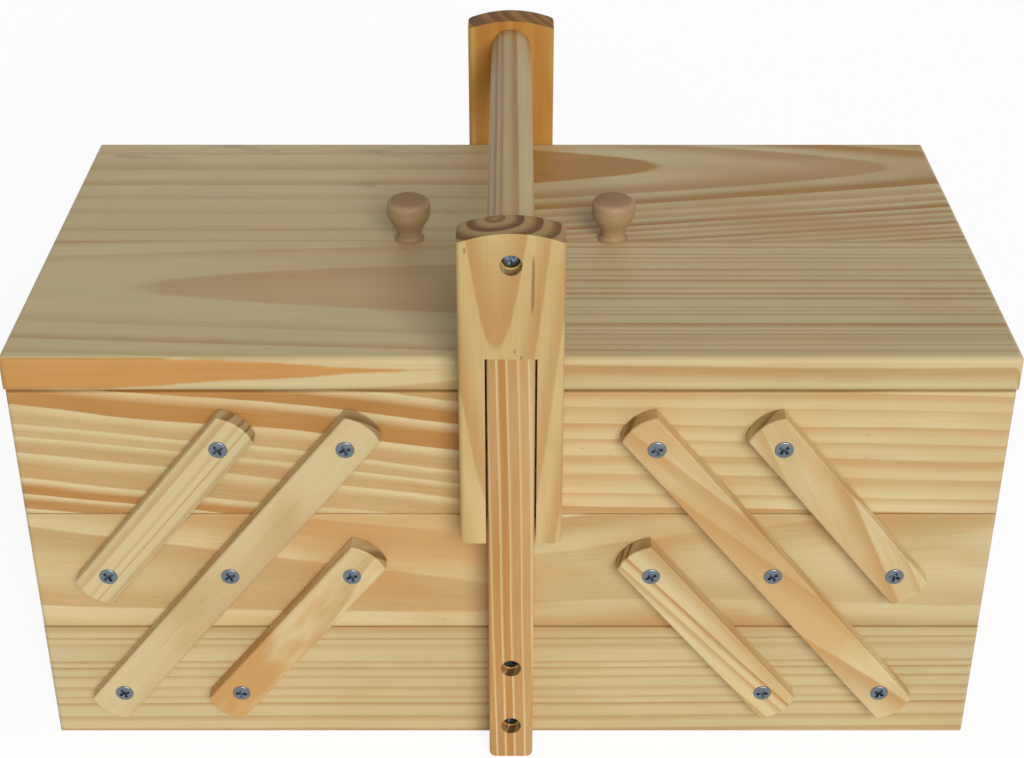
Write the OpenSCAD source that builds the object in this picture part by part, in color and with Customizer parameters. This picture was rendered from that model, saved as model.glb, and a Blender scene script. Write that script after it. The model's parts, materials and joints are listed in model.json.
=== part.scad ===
// Sewing carrier: a base box with two levels of trays that fan out on wooden
// arms, two hinged lids over the top trays and a fixed carrying handle.
// Origin: middle of the base's underside. +X right, -Y front, +Z up.

/* [Box] */
// Width of the base and of the closed stack of trays
box_w = 400; // [360:5:460]
// Depth of the base over its front and back faces
box_d = 211; // [180:1:240]
// Height of the base and of each tray
tier_h = 58.2; // [54:0.1:62]
// Thickness of the pine walls
wall_t = 9; // [8:0.5:11]
// Thickness of the plywood bottoms
bottom_t = 4; // [3:0.5:5]
// Height of the groove for the bottom over a wall's lower edge
groove_z = 3; // [2:0.5:6]
// Depth of the groove for the bottom
groove_d = 3.5; // [2.5:0.5:4.5]
// Depth of the rabbet that takes the end of an end wall
rabbet_d = 4.5; // [3:0.5:6]
// Rounding of the upright outer corners of the base and trays
box_corner_r = 2; // [1:0.5:3]
// Rounding of the upper and lower outer edges of the base and trays
box_edge_r = 0.8; // [0.4:0.1:1.2]

/* [Lids] */
// Thickness of the lids
lid_t = 15.5; // [13:0.5:18]
// How far a lid stands out past the outer end of its tray
lid_end_overhang = 1.25; // [1.25:0.05:2]
// How far a lid stands out past the front and back of its tray
lid_face_overhang = 0.2; // [0:0.05:0.25]
// Rounding of the upper edges of a lid
lid_top_r = 2.5; // [2:0.5:5]
// Rounding of the lower front, back and inner edges of a lid
lid_low_r = 3; // [1:0.5:4]
// Rounding of a lid's lower edge at its outer end
lid_heel_r = 2; // [1:0.5:3]
// Rounding of the upright corners of a lid
lid_corner_r = 3.5; // [1:0.5:4]
// Place of the glue line between a lid's two boards, from its middle
lid_seam_y = -2.3; // [-20:0.1:20]
// How far a knob stands from the middle of the box
knob_x = 44.7; // [36:0.1:70]
// Height of a knob
knob_h = 20; // [17:0.5:24]
// Width of a knob's head
knob_head_d = 19; // [16:0.5:24]
// Width of a knob's neck
knob_neck_d = 10.4; // [9:0.2:12]
// Width of a knob's foot
knob_foot_d = 12.8; // [11:0.2:15]

/* [Arms] */
// Width of an arm
arm_w = 18; // [14:0.5:22]
// Thickness of an arm
arm_t = 7.5; // [6:0.5:9]
// Length of an arm past its last pivot, at its middle
arm_end = 14; // [12:0.5:18]
// Length of an arm past its last pivot, at its corners
arm_shoulder = 11.5; // [9:0.5:11.5]
// Rounding of an arm's front edges
arm_edge_r = 1; // [0.5:0.1:1.5]
// Distance of the outermost pivots from the middle of the pattern
pivot_x = 163; // [150:0.5:172]
// How far the pattern of pivots sits to the left of the middle of the box
pivot_shift = 4; // [0:0.5:6]
// Height of the lowest pivots
pivot_z = 28.5; // [24:0.5:34]
// Distance from one column of pivots to the next
pivot_run = 50.5; // [46:0.5:54]
// Distance from one row of pivots to the next
pivot_rise = 62.5; // [60:0.5:66]

/* [Handle] */
// Width of a post
post_w = 18.6; // [16:0.2:22]
// Depth of a post and of its fork
post_d = 16; // [14:0.5:20]
// Rounding of the lower corners of a post
post_corner_r = 3; // [1:0.5:5]
// Width of a fork
fork_w = 40.8; // [38:0.2:48]
// Height of a fork's lower end
fork_z = 114; // [100:0.5:130]
// Height of a fork's top at its middle
fork_top_z = 253; // [253:0.5:270]
// Rise of the curved top over its shoulders
fork_crown = 4; // [2:0.5:6]
// Free width in the slot beside the post, both sides together
slot_play = 1.6; // [0.6:0.1:1.8]
// Height of the slot's upper end, where the post ends too
slot_top_z = 200; // [194:0.5:210]
// Rounding of a fork's upright edges
fork_edge_r = 2; // [1:0.5:3]
// Rounding of a fork's lower corners
fork_corner_r = 3; // [1:0.5:4]
// Width of the round grip bar
grip_d = 18.5; // [16:0.5:19]
// How far the grip bar's middle lies below the top of the forks
grip_drop = 13; // [11:0.5:13]

/* [Hinges] */
// Length of a hinge along the lid's edge
hinge_len = 25; // [20:1:32]
// Distance of the hinges from the middle of the lid
hinge_y = 62; // [40:1:75]
// Width of a leaf from the pin's middle
leaf_w = 8; // [7:0.2:8.4]
// Thickness of a leaf
leaf_t = 1; // [0.8:0.1:1.2]
// Width of the knuckles
knuckle_d = 4; // [3.6:0.1:4.4]
// Width of the pin
hinge_pin_d = 1.6; // [1.4:0.1:2]
// How far the pin's middle stands out past the tray's outer end
hinge_out = 0.25; // [0.2:0.05:0.4]

/* [Screws] */
// Width of a pivot screw's head
pivot_head_d = 7.8; // [7:0.1:8.6]
// Width of a pivot screw's shank
pivot_shank_d = 4; // [3.5:0.1:4.5]
// Length of a pivot screw in the wall
pivot_bite = 7.5; // [6:0.5:7.5]
// Width of a handle screw's head
handle_head_d = 7.6; // [7:0.1:8]
// Width of the hole over a handle screw's head
handle_bore_d = 8.5; // [8.2:0.1:9.5]
// Width of a handle screw's shank
handle_shank_d = 4; // [3.5:0.1:4.5]
// Depth of a handle screw's head in its hole
handle_sink = 5; // [3:0.5:7]
// Heights of the two screws in each post
post_screw_low_z = 17.3; // [14:0.1:24]
post_screw_high_z = 49; // [36:0.5:52]
// Width of a hinge screw's head
leaf_head_d = 3.8; // [3.4:0.1:3.8]
// Width of a hinge screw's shank
leaf_shank_d = 2; // [1.8:0.1:2.4]
// Length of a hinge screw
leaf_screw_len = 9; // [7:0.5:11]
// Width of a knob screw's head
knob_screw_head_d = 7; // [6:0.1:8]
// Width of a knob screw's shank
knob_screw_d = 3.5; // [3:0.1:4]
// Length of a knob screw in the knob
knob_bite = 10; // [8:0.5:13]

/* [Clearances] */
// Gap between one level and the next
tier_gap = 0.3; // [0.3:0.05:0.6]
// How far the trays' faces stand behind the base's
tray_setback = 0.4; // [0.4:0.05:0.8]
// Gap between the left and right trays and lids
middle_gap = 0.6; // [0.6:0.1:1.2]
// Gap between an arm and the base's face
arm_gap = 0.3; // [0.3:0.05:0.6]
// Running play round a pivot screw and a hinge pin, on the radius
pivot_play = 0.05; // [0.03:0.01:0.1]
// Play round a fixed screw, on the radius
screw_play = 0.02; // [0.01:0.01:0.05]
// Play round a bottom in its grooves
bottom_play = 0.3; // [0.2:0.05:0.5]
// Thickness of the glue line between a lid's two boards
glue_gap = 0.06; // [0.04:0.01:0.1]
// Gap round a knuckle and between knuckles
knuckle_gap = 0.3; // [0.3:0.05:0.5]

/* [Hidden] */
$fn = 64;
eps = 0.01;
LEFT = -1;
RIGHT = 1;
FRONT = -1;
BACK = 1;
BASE = 0;
MID = 1;
TOP = 2;

// Columns of pivots that each level carries, counted from the outer one
LEVEL_PIVOTS = [[0, 1], [0, 1, 2], [1, 2]];

pine = "burlywood";
pale_pine = "navajowhite";
orange_pine = "sandybrown";
plywood = "wheat";
beech = "rosybrown";
zinc = "lightsteelblue";
brass = "goldenrod";

tier_pitch = tier_h + tier_gap;
lid_z = 3 * tier_pitch;
lid_top_z = lid_z + lid_t;
base_face = box_d / 2;
tray_face = base_face - tray_setback;
lid_face = tray_face + lid_face_overhang;
stack_end = box_w / 2;
lid_end = stack_end + lid_end_overhang;
inner_end = middle_gap / 2;
tray_w = stack_end - inner_end;

arm_back = base_face + arm_gap;
arm_front = arm_back + arm_t;
arm_pitch = sqrt(pow(pivot_run, 2) + pow(pivot_rise, 2));
arm_lean = atan(pivot_run / pivot_rise);
arm_arc_rise = arm_end - arm_shoulder;
arm_arc_r = (pow(arm_w / 2, 2) + pow(arm_arc_rise, 2)) / (2 * arm_arc_rise);

grip_z = fork_top_z - grip_drop;
post_front = base_face + post_d;
slot_w = post_w + slot_play;
fork_shoulder_z = fork_top_z - fork_crown;
fork_arc_r = (pow(fork_w / 2, 2) + pow(fork_crown, 2)) / (2 * fork_crown);

hinge_x = stack_end + hinge_out;
hinge_z = lid_z - tier_gap / 2;
knuckle_len = (hinge_len - 2 * knuckle_gap) / 3;
leaf_screw_x = hinge_x - leaf_w * 0.62;
leaf_screw_y = hinge_len * 0.3;

recess_w = 0.9;
recess_len = 0.58;
recess_depth = 1.5;

// Heights of a knob's foot, waist, belly and brim as shares of its height, and how square its dome is
KNOB_FOOT = 0.05;
KNOB_WAIST = 0.12;
KNOB_BELLY = 0.68;
KNOB_BRIM = 0.82;
KNOB_DOME = 0.6;

function pivot_col(side, i) = pivot_x - i * pivot_run - side * pivot_shift;
function pivot_row(level) = pivot_z + level * pivot_rise;

// Mirrors what is drawn for the right side to the left one
module at_side(side) {
    mirror([side < 0 ? 1 : 0, 0, 0]) children();
}

// Mirrors what is drawn for the front to the back
module at_face(face) {
    mirror([0, face > 0 ? 1 : 0, 0]) children();
}

// Turns an upright axis to run from the front into the box
module into_box() {
    rotate([-90, 0, 0]) children();
}

// Rectangle from the origin with its own radius at each corner:
// lower left, lower right, upper right, upper left
module rounded_rect(w, h, radii) {
    corners = [[0, 0, 0], [w, 0, 90], [w, h, 180], [0, h, 270]];
    difference() {
        square([w, h]);
        for (i = [0:3]) {
            translate([corners[i][0], corners[i][1]])
                rotate(corners[i][2])
                    corner_waste(radii[i]);
        }
    }
}

// What is cut from a corner at the origin to round it
module corner_waste(r) {
    if (r > 0)
        difference() {
            translate([-1, -1]) square(r + 1);
            translate([r, r]) circle(r);
        }
}

// Countersunk screw along +Z, head face at the origin, with a cross recess
module cross_screw(head_d, shank_d, length) {
    head_h = (head_d - shank_d) / 2;
    arm = head_d * recess_len;
    difference() {
        union() {
            cylinder(h = head_h, d1 = head_d, d2 = shank_d);
            cylinder(h = length, d = shank_d);
        }
        for (turn = [0, 90]) {
            rotate(turn)
                translate([-arm / 2, -recess_w / 2, -eps])
                    cube([arm, recess_w, recess_depth * head_d / pivot_head_d]);
        }
    }
}

// Hole for such a screw, with play all round
module screw_hole(head_d, shank_d, length, play) {
    head_h = (head_d - shank_d) / 2;
    translate([0, 0, -eps])
        cylinder(h = head_h + eps, d1 = head_d + 2 * (play + eps), d2 = shank_d + 2 * play);
    cylinder(h = length, d = shank_d + 2 * play);
}

// Front wall from x0 to x1 on a level, with rabbets, groove and pilot holes
module front_wall(x0, x1, face_y, level, pivots) {
    z0 = level * tier_pitch;
    inner_r = x0 < 0 ? box_corner_r : 0;
    difference() {
        intersection() {
            translate([x0, -face_y, z0])
                rotate([90, 0, 90])
                    linear_extrude(height = x1 - x0)
                        rounded_rect(wall_t, tier_h, [box_edge_r, 0, 0, box_edge_r]);
            translate([x0, -face_y, z0 - 1])
                linear_extrude(height = tier_h + 2)
                    rounded_rect(x1 - x0, wall_t, [inner_r, box_corner_r, 0, 0]);
        }
        for (x = [x0 - eps, x1 - wall_t]) {
            translate([x, -face_y + wall_t - rabbet_d, z0 - eps])
                cube([wall_t + eps, rabbet_d + eps, tier_h + 2 * eps]);
        }
        translate([x0 + wall_t - groove_d, -face_y + wall_t - groove_d, z0 + groove_z])
            cube([x1 - x0 - 2 * (wall_t - groove_d), groove_d + eps, bottom_t]);
        for (x = pivots) {
            translate([x, -face_y - eps, pivot_row(level)])
                into_box()
                    cylinder(h = pivot_bite + arm_gap, d = pivot_shank_d + 2 * screw_play);
        }
    }
}

// End wall between the front and back walls; its inner face looks to -X
module end_wall(x, face_y, level) {
    z0 = level * tier_pitch;
    half = face_y - wall_t + rabbet_d;
    difference() {
        translate([x - wall_t, half, z0])
            rotate([90, 0, 0])
                linear_extrude(height = 2 * half)
                    rounded_rect(wall_t, tier_h, [0, box_edge_r, box_edge_r, 0]);
        translate([x - wall_t - eps, -face_y + wall_t - groove_d, z0 + groove_z])
            cube([groove_d + eps, 2 * (face_y - wall_t + groove_d), bottom_t]);
    }
}

// Bottom that lies in the grooves
module bottom_sheet(x0, x1, face_y, level) {
    inset = wall_t - groove_d + bottom_play;
    translate([x0 + inset, -face_y + inset, level * tier_pitch + groove_z])
        cube([x1 - x0 - 2 * inset, 2 * (face_y - inset), bottom_t]);
}

module base_wall(face) {
    pivots = [for (i = LEVEL_PIVOTS[BASE]) for (side = [LEFT, RIGHT]) side * pivot_col(side, i)];
    color(pine)
        at_face(face)
            difference() {
                front_wall(-stack_end, stack_end, base_face, BASE, pivots);
                for (z = [post_screw_low_z, post_screw_high_z]) {
                    translate([0, -post_front + handle_sink, z])
                        into_box()
                            handle_screw_hole(post_screw_len());
                }
            }
}

module base_end(side) {
    color(pine)
        at_side(side)
            end_wall(stack_end, base_face, BASE);
}

module base_bottom() {
    color(plywood)
        bottom_sheet(-stack_end, stack_end, base_face, BASE);
}

module tray_wall(side, face, level) {
    color(level == TOP ? orange_pine : pine)
        at_side(side)
            at_face(face)
                front_wall(inner_end, stack_end, tray_face, level,
                    [for (i = LEVEL_PIVOTS[level]) pivot_col(side, i)]);
}

module tray_inner_end(side, level) {
    color(pine)
        at_side(side)
            translate([inner_end + stack_end, 0, 0])
                mirror([1, 0, 0])
                    end_wall(stack_end, tray_face, level);
}

// The top tray's outer end is let in for the hinges
module tray_outer_end(side, level) {
    color(pine)
        at_side(side)
            difference() {
                end_wall(stack_end, tray_face, level);
                if (level == TOP) {
                    hinge_seat(-1);
                    leaf_screws_at(-1) screw_hole(leaf_head_d, leaf_shank_d, leaf_screw_len, screw_play);
                }
            }
}

module tray_bottom(side, level) {
    color(plywood)
        at_side(side)
            bottom_sheet(inner_end, stack_end, tray_face, level);
}

// Screws that carry the arms at a level, on both faces of one side
module pivot_screws(side, level) {
    reach = level == BASE ? arm_gap : arm_gap + tray_setback;
    color(zinc)
        at_side(side)
            for (face = [FRONT, BACK]) {
                for (i = LEVEL_PIVOTS[level]) {
                    at_face(face)
                        translate([pivot_col(side, i), -arm_front, pivot_row(level)])
                            into_box()
                                cross_screw(pivot_head_d, pivot_shank_d, arm_t + reach + pivot_bite - 0.5);
                }
            }
}

// Arm from the pivot in column i of a level, through count rows
module arm(side, face, i, level, count) {
    reach = (count - 1) * arm_pitch;
    color(pale_pine)
        at_side(side)
            at_face(face)
                translate([pivot_col(side, i), -arm_front, pivot_row(level)])
                    rotate([0, -arm_lean, 0])
                        difference() {
                            arm_blank(reach);
                            for (j = [0:count - 1]) {
                                translate([0, 0, j * arm_pitch])
                                    into_box()
                                        screw_hole(pivot_head_d, pivot_shank_d, arm_t + eps, pivot_play);
                            }
                        }
}

// Arm without its holes, upright over its first pivot
module arm_blank(reach) {
    straight = arm_shoulder - arm_edge_r;
    arm_bar(-straight, reach + straight);
    arm_cap();
    translate([0, 0, reach])
        mirror([0, 0, 1])
            arm_cap();
}

// Straight part of an arm between two heights, with eased front edges
module arm_bar(z0, z1) {
    translate([-arm_w / 2, arm_t, z0])
        mirror([0, 1, 0])
            linear_extrude(height = z1 - z0)
                rounded_rect(arm_w, arm_t, [0, 0, arm_edge_r, arm_edge_r]);
}

// Shallow curve that ends an arm below its first pivot
module arm_cap() {
    intersection() {
        arm_bar(-arm_end - 1, 2 * arm_edge_r - arm_shoulder);
        translate([0, 0, arm_arc_r - arm_end])
            into_box()
                rotate_extrude($fn = 128)
                    mirror([0, 1])
                        translate([0, -arm_t])
                            rounded_rect(arm_arc_r, arm_t, [0, 0, arm_edge_r, 0]);
    }
}

function post_screw_len() = post_d - handle_sink + wall_t - 1;
function grip_screw_len() = post_d - handle_sink + 24;

// Hole for a handle screw: a deep round hole over the head
module handle_screw_hole(length) {
    screw_hole(handle_head_d, handle_shank_d, length + 1, screw_play);
    translate([0, 0, -handle_sink - eps])
        cylinder(h = handle_sink + 2 * eps, d = handle_bore_d);
}

module post(face) {
    color(orange_pine)
        at_face(face)
            difference() {
                intersection() {
                    translate([-post_w / 2, -base_face, 0])
                        rotate([90, 0, 0])
                            linear_extrude(height = post_d)
                                rounded_rect(post_w, slot_top_z, [post_corner_r, post_corner_r, 0, 0]);
                    translate([-post_w / 2, -post_front, 0])
                        linear_extrude(height = slot_top_z)
                            rounded_rect(post_w, post_d, [fork_edge_r / 2, fork_edge_r / 2, 0, 0]);
                }
                for (z = [post_screw_low_z, post_screw_high_z]) {
                    translate([0, -post_front + handle_sink, z])
                        into_box()
                            handle_screw_hole(post_screw_len());
                }
            }
}

// Front view of a fork: curved top, slot for the post, rounded prongs
module fork_outline() {
    difference() {
        union() {
            translate([-fork_w / 2, fork_z])
                rounded_rect(fork_w, fork_shoulder_z - fork_z, [fork_corner_r, fork_corner_r, 0, 0]);
            intersection() {
                translate([0, fork_top_z - fork_arc_r]) circle(fork_arc_r, $fn = 256);
                translate([-fork_w / 2, fork_shoulder_z - 1]) square([fork_w, fork_crown + 2]);
            }
        }
        translate([-slot_w / 2, fork_z - 1])
            square([slot_w, slot_top_z - fork_z + 1]);
    }
}

module fork(face) {
    color(pale_pine)
        at_face(face)
            difference() {
                intersection() {
                    translate([0, -base_face, 0])
                        rotate([90, 0, 0])
                            linear_extrude(height = post_d)
                                fork_outline();
                    translate([-fork_w / 2, -post_front, fork_z - 1])
                        linear_extrude(height = fork_top_z - fork_z + 2)
                            rounded_rect(fork_w, post_d, [for (i = [0:3]) fork_edge_r]);
                }
                translate([0, -post_front + handle_sink, grip_z])
                    into_box()
                        handle_screw_hole(post_d);
            }
}

module grip_bar() {
    color(pine)
        difference() {
            translate([0, -base_face, grip_z])
                into_box()
                    cylinder(h = box_d, d = grip_d);
            for (face = [FRONT, BACK]) {
                at_face(face)
                    translate([0, -post_front + handle_sink, grip_z])
                        into_box()
                            handle_screw_hole(grip_screw_len());
            }
        }
}

module handle_screws() {
    color(zinc)
        for (face = [FRONT, BACK]) {
            at_face(face) {
                for (z = [post_screw_low_z, post_screw_high_z]) {
                    translate([0, -post_front + handle_sink, z])
                        into_box()
                            cross_screw(handle_head_d, handle_shank_d, post_screw_len());
                }
                translate([0, -post_front + handle_sink, grip_z])
                    into_box()
                        cross_screw(handle_head_d, handle_shank_d, grip_screw_len());
            }
        }
}

// Two boards, glued along the middle
module lid_boards(side) {
    color(orange_pine)
        at_side(side)
            difference() {
                lid_blank();
                translate([0, lid_seam_y - glue_gap / 2, lid_z - 1])
                    cube([lid_end + 1, glue_gap, lid_t + 2]);
                hinge_seat(1);
                leaf_screws_at(1) screw_hole(leaf_head_d, leaf_shank_d, leaf_screw_len, screw_play);
                translate([knob_x, 0, lid_z])
                    screw_hole(knob_screw_head_d, knob_screw_d, lid_t + 1, screw_play);
            }
}

// Whole lid panel with its rounded edges
module lid_blank() {
    w = lid_end - inner_end;
    intersection() {
        translate([inner_end, lid_face, lid_z])
            rotate([90, 0, 0])
                linear_extrude(height = 2 * lid_face)
                    rounded_rect(w, lid_t, [lid_low_r, lid_heel_r, lid_top_r, lid_top_r]);
        translate([inner_end, -lid_face, lid_z])
            rotate([90, 0, 90])
                linear_extrude(height = w)
                    rounded_rect(2 * lid_face, lid_t, [lid_low_r, lid_low_r, lid_top_r, lid_top_r]);
        translate([inner_end, -lid_face, lid_z - 1])
            linear_extrude(height = lid_t + 2)
                rounded_rect(w, 2 * lid_face, [for (i = [0:3]) lid_corner_r]);
    }
}

// Half outline of a knob: low foot, waist, a body that widens to the head, domed top
module knob_outline() {
    foot_r = knob_foot_d / 2;
    neck_r = knob_neck_d / 2;
    head_r = knob_head_d / 2;
    foot_z = knob_h * KNOB_FOOT;
    waist_z = knob_h * KNOB_WAIST;
    belly_z = knob_h * KNOB_BELLY;
    brim_z = knob_h * KNOB_BRIM;
    polygon(concat(
        [[0, 0], [foot_r, 0]],
        [for (a = [0:15:75]) [foot_r - (foot_r - neck_r) * sin(a), foot_z + (waist_z - foot_z) * (1 - cos(a))]],
        [for (t = [0:15:180])
            [neck_r + (head_r - neck_r) * (1 - cos(t)) / 2, waist_z + (belly_z - waist_z) * t / 180]],
        [for (a = [0:10:90]) [head_r * pow(cos(a), KNOB_DOME), brim_z + (knob_h - brim_z) * sin(a)]]
    ));
}

module knob(side) {
    color(beech)
        at_side(side)
            translate([knob_x, 0, lid_top_z])
                difference() {
                    rotate_extrude($fn = 72) knob_outline();
                    translate([0, 0, -eps])
                        cylinder(h = knob_bite + 0.5, d = knob_screw_d + 2 * screw_play);
                }
}

// Middles of the two hinges on one side
module at_hinges() {
    for (y = [-hinge_y, hinge_y]) {
        translate([hinge_x, y, hinge_z]) children();
    }
}

// Room for a leaf and the knuckles; way is 1 for the lid, -1 for the tray
module hinge_seat(way) {
    at_hinges() {
        rotate([90, 0, 0])
            cylinder(h = hinge_len + 2 * knuckle_gap, r = knuckle_d / 2 + knuckle_gap, center = true);
        leaf_plate(way, hinge_len, leaf_w, leaf_t + tier_gap / 2 + eps, 0);
    }
}

// Flat plate of a leaf, from the pin's middle inwards
module leaf_plate(way, length, width, thick, lift) {
    z = way > 0 ? lift : -lift - thick;
    translate([-width, -length / 2, z])
        cube([width, length, thick]);
}

// The tray's leaf has the two outer knuckles, the lid's leaf the middle one
module hinge_leaf(way) {
    lift = tier_gap / 2;
    plate_end = knuckle_d / 2 + knuckle_gap;
    knuckle_wall_x = (knuckle_d + hinge_pin_d) / 4;
    difference() {
        union() {
            translate([-plate_end, 0, 0])
                leaf_plate(way, hinge_len, leaf_w - plate_end, leaf_t, lift);
            for (i = way > 0 ? [0] : [-1, 1]) {
                translate([0, i * (knuckle_len + knuckle_gap), 0]) {
                    translate([-knuckle_wall_x, 0, 0])
                        leaf_plate(way, knuckle_len, plate_end, leaf_t, lift);
                    rotate([90, 0, 0])
                        cylinder(h = knuckle_len, d = knuckle_d, center = true);
                }
            }
        }
        rotate([90, 0, 0])
            cylinder(h = hinge_len + 2, d = hinge_pin_d + 2 * pivot_play, center = true);
    }
}

module hinge_leaves(side, way) {
    color(brass)
        at_side(side)
            difference() {
                at_hinges() hinge_leaf(way);
                leaf_screws_at(way) screw_hole(leaf_head_d, leaf_shank_d, leaf_screw_len, screw_play);
            }
}

// Places of the four screws in one side's tray leaves or lid leaves
module leaf_screws_at(way) {
    for (y = [-hinge_y, hinge_y]) {
        for (dy = [-leaf_screw_y, leaf_screw_y]) {
            translate([leaf_screw_x, y + dy, hinge_z + way * tier_gap / 2])
                rotate([way > 0 ? 0 : 180, 0, 0])
                    children();
        }
    }
}

module hinge_pins(side) {
    color(brass)
        at_side(side)
            at_hinges()
                rotate([90, 0, 0])
                    cylinder(h = hinge_len, d = hinge_pin_d, center = true);
}

module leaf_screws(side, way) {
    color(brass)
        at_side(side)
            leaf_screws_at(way) cross_screw(leaf_head_d, leaf_shank_d, leaf_screw_len - 0.5);
}

module knob_screw(side) {
    color(zinc)
        at_side(side)
            translate([knob_x, 0, lid_z])
                cross_screw(knob_screw_head_d, knob_screw_d, lid_t + knob_bite);
}

module base_pivot_screws() {
    pivot_screws(LEFT, BASE);
    pivot_screws(RIGHT, BASE);
}

module top_screws(side) {
    pivot_screws(side, TOP);
    leaf_screws(side, -1);
}

module lid_screws(side) {
    leaf_screws(side, 1);
    knob_screw(side);
}

base_wall(FRONT);  // base_front
base_wall(BACK);  // base_back
base_end(LEFT);  // base_left_end
base_end(RIGHT);  // base_right_end
base_bottom();
base_pivot_screws();
post(FRONT);  // front_post
post(BACK);  // back_post
fork(FRONT);  // front_fork
fork(BACK);  // back_fork
grip_bar();
handle_screws();
tray_wall(LEFT, FRONT, MID);  // left_mid_front
tray_wall(LEFT, BACK, MID);  // left_mid_back
tray_outer_end(LEFT, MID);  // left_mid_outer_end
tray_inner_end(LEFT, MID);  // left_mid_inner_end
tray_bottom(LEFT, MID);  // left_mid_bottom
pivot_screws(LEFT, MID);  // left_mid_pivot_screws
tray_wall(RIGHT, FRONT, MID);  // right_mid_front
tray_wall(RIGHT, BACK, MID);  // right_mid_back
tray_outer_end(RIGHT, MID);  // right_mid_outer_end
tray_inner_end(RIGHT, MID);  // right_mid_inner_end
tray_bottom(RIGHT, MID);  // right_mid_bottom
pivot_screws(RIGHT, MID);  // right_mid_pivot_screws
tray_wall(LEFT, FRONT, TOP);  // left_top_front
tray_wall(LEFT, BACK, TOP);  // left_top_back
tray_outer_end(LEFT, TOP);  // left_top_outer_end
tray_inner_end(LEFT, TOP);  // left_top_inner_end
tray_bottom(LEFT, TOP);  // left_top_bottom
top_screws(LEFT);  // left_top_screws
hinge_leaves(LEFT, -1);  // left_tray_hinge_leaves
hinge_pins(LEFT);  // left_hinge_pins
tray_wall(RIGHT, FRONT, TOP);  // right_top_front
tray_wall(RIGHT, BACK, TOP);  // right_top_back
tray_outer_end(RIGHT, TOP);  // right_top_outer_end
tray_inner_end(RIGHT, TOP);  // right_top_inner_end
tray_bottom(RIGHT, TOP);  // right_top_bottom
top_screws(RIGHT);  // right_top_screws
hinge_leaves(RIGHT, -1);  // right_tray_hinge_leaves
hinge_pins(RIGHT);  // right_hinge_pins
lid_boards(LEFT);  // left_lid_boards
knob(LEFT);  // left_knob
hinge_leaves(LEFT, 1);  // left_lid_hinge_leaves
lid_screws(LEFT);  // left_lid_screws
lid_boards(RIGHT);  // right_lid_boards
knob(RIGHT);  // right_knob
hinge_leaves(RIGHT, 1);  // right_lid_hinge_leaves
lid_screws(RIGHT);  // right_lid_screws
arm(LEFT, FRONT, 0, BASE, 3);  // left_front_long_arm
arm(LEFT, BACK, 0, BASE, 3);  // left_back_long_arm
arm(LEFT, FRONT, 1, BASE, 2);  // left_front_lower_arm
arm(LEFT, BACK, 1, BASE, 2);  // left_back_lower_arm
arm(LEFT, FRONT, 0, MID, 2);  // left_front_upper_arm
arm(LEFT, BACK, 0, MID, 2);  // left_back_upper_arm
arm(RIGHT, FRONT, 0, BASE, 3);  // right_front_long_arm
arm(RIGHT, BACK, 0, BASE, 3);  // right_back_long_arm
arm(RIGHT, FRONT, 1, BASE, 2);  // right_front_lower_arm
arm(RIGHT, BACK, 1, BASE, 2);  // right_back_lower_arm
arm(RIGHT, FRONT, 0, MID, 2);  // right_front_upper_arm
arm(RIGHT, BACK, 0, MID, 2);  // right_back_upper_arm
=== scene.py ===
"""Sewing carrier with two lids: the finish of every piece, and the turned, screwed and hinged small parts."""

import json
import math

import bmesh
import bpy
from bpy.props import FloatProperty, FloatVectorProperty, IntProperty, PointerProperty
from mathutils import Matrix, Vector

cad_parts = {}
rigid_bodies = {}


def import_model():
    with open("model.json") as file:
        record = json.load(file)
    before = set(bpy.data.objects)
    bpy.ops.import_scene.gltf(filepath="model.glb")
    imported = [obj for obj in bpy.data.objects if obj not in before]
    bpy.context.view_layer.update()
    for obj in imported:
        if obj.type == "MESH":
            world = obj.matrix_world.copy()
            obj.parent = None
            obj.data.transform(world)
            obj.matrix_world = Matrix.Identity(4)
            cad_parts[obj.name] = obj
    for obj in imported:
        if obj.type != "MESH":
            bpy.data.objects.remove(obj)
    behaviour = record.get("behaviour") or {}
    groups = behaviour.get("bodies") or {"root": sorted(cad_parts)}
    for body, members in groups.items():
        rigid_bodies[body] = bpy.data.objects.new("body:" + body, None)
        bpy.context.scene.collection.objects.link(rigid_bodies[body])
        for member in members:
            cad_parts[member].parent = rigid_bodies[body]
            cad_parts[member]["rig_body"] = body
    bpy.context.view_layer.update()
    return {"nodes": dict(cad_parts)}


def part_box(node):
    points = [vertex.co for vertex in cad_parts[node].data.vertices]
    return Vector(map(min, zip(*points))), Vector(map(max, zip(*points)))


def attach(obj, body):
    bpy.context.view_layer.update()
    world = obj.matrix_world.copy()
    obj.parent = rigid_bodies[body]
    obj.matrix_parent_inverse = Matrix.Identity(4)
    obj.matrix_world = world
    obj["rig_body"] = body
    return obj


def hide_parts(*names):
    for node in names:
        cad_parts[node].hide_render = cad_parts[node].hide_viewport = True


bl_info = {
    "name": "Sewing Carrier",
    "version": (1, 0, 0),
    "blender": (4, 5, 0),
    "location": "3D View > Sidebar > Carrier",
    "description": "Dresses a wooden cantilever sewing carrier with two lids",
    "category": "Object",
}

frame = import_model()
NODES = frame["nodes"]

MM = 0.001
SIDES = ("left", "right")


def tone(red, green, blue):
    """Linear colour of an sRGB tone from 0 to 255"""
    def curve(value):
        share = value / 255
        return share / 12.92 if share <= 0.04045 else ((share + 0.055) / 1.055) ** 2.4
    return (curve(red), curve(green), curve(blue))


def colour_prop(name, description, default):
    return FloatVectorProperty(
        name=name, description=description, subtype="COLOR", size=3, min=0, max=1, default=default)


def length_prop(name, description, default):
    return FloatProperty(name=name, description=description, default=default, min=0, unit="LENGTH")


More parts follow.
